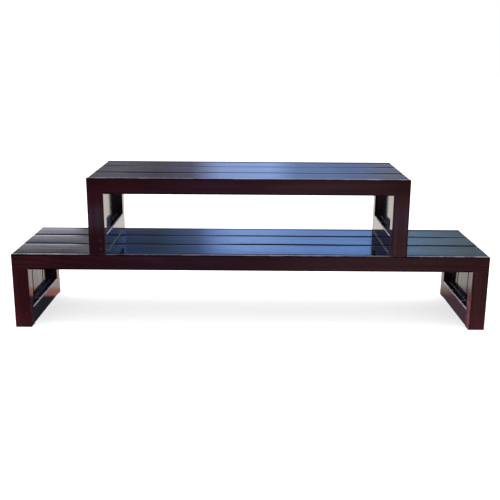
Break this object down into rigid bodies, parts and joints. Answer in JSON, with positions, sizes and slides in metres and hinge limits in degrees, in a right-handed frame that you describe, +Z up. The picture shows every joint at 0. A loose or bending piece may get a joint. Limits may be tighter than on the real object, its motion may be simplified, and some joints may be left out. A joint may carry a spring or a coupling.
{
  "type": "two-tier timber riser",
  "caption": "Long low dark lacquered timber bench with a shorter matching bench standing on it, making stepped standing platforms at both ends and on top.",
  "frame": {"origin": "on the floor, at the centre of the lower bench's footprint", "axes": "+X along the length to the right seen from the front, -Y is the front, +Z up"},
  "size_m": [1.83, 0.46, 0.59],
  "materials": {
    "rail_wood": "mahogany stain, gloss lacquer",
    "leg_wood": "mahogany stain, gloss lacquer, redder at the feet",
    "deck_wood": "mahogany stain, high gloss lacquer",
    "end_board_wood": "mahogany stain, gloss lacquer",
    "foot_rail_wood": "mahogany stain, gloss lacquer",
    "batten_wood": "mahogany stain, thin lacquer",
    "plug_wood": "end grain, stained, flush",
    "dowel_wood": "bare beech",
    "zinc_steel": "zinc plated"
  },
  "bodies": {
    "lower_bench": {"lower_front_rail": "rail_wood", "lower_rear_rail": "rail_wood", "lower_front_left_leg": "leg_wood", "lower_front_right_leg": "leg_wood", "lower_rear_left_leg": "leg_wood", "lower_rear_right_leg": "leg_wood", "lower_front_deck_board": "deck_wood", "lower_middle_deck_board": "deck_wood", "lower_rear_deck_board": "deck_wood", "lower_left_front_end_board": "end_board_wood", "lower_left_middle_end_board": "end_board_wood", "lower_left_rear_end_board": "end_board_wood", "lower_right_front_end_board": "end_board_wood", "lower_right_middle_end_board": "end_board_wood", "lower_right_rear_end_board": "end_board_wood", "lower_left_foot_rail": "foot_rail_wood", "lower_right_foot_rail": "foot_rail_wood", "lower_left_end_batten": "batten_wood", "lower_right_end_batten": "batten_wood", "lower_left_batten": "batten_wood", "lower_middle_batten": "batten_wood", "lower_right_batten": "batten_wood", "lower_leg_dowels": "dowel_wood", "lower_end_board_dowels": "dowel_wood", "lower_deck_screws": "zinc_steel", "lower_leg_screws": "zinc_steel", "lower_leg_plugs": "plug_wood"},
    "upper_bench": {"upper_front_rail": "rail_wood", "upper_rear_rail": "rail_wood", "upper_front_left_leg": "leg_wood", "upper_front_right_leg": "leg_wood", "upper_rear_left_leg": "leg_wood", "upper_rear_right_leg": "leg_wood", "upper_front_deck_board": "deck_wood", "upper_middle_deck_board": "deck_wood", "upper_rear_deck_board": "deck_wood", "upper_left_front_end_board": "end_board_wood", "upper_left_middle_end_board": "end_board_wood", "upper_left_rear_end_board": "end_board_wood", "upper_right_front_end_board": "end_board_wood", "upper_right_middle_end_board": "end_board_wood", "upper_right_rear_end_board": "end_board_wood", "upper_left_foot_rail": "foot_rail_wood", "upper_right_foot_rail": "foot_rail_wood", "upper_left_end_batten": "batten_wood", "upper_right_end_batten": "batten_wood", "upper_left_batten": "batten_wood", "upper_right_batten": "batten_wood", "upper_leg_dowels": "dowel_wood", "upper_end_board_dowels": "dowel_wood", "upper_deck_screws": "zinc_steel", "upper_leg_screws": "zinc_steel", "upper_leg_plugs": "plug_wood"}
  },
  "joints": [
    {"name": "upper_bench_lift", "type": "slide", "parent": "lower_bench", "child": "upper_bench", "axis": [0, 0, 1], "range_m": [0, 0.3]}
  ]
}
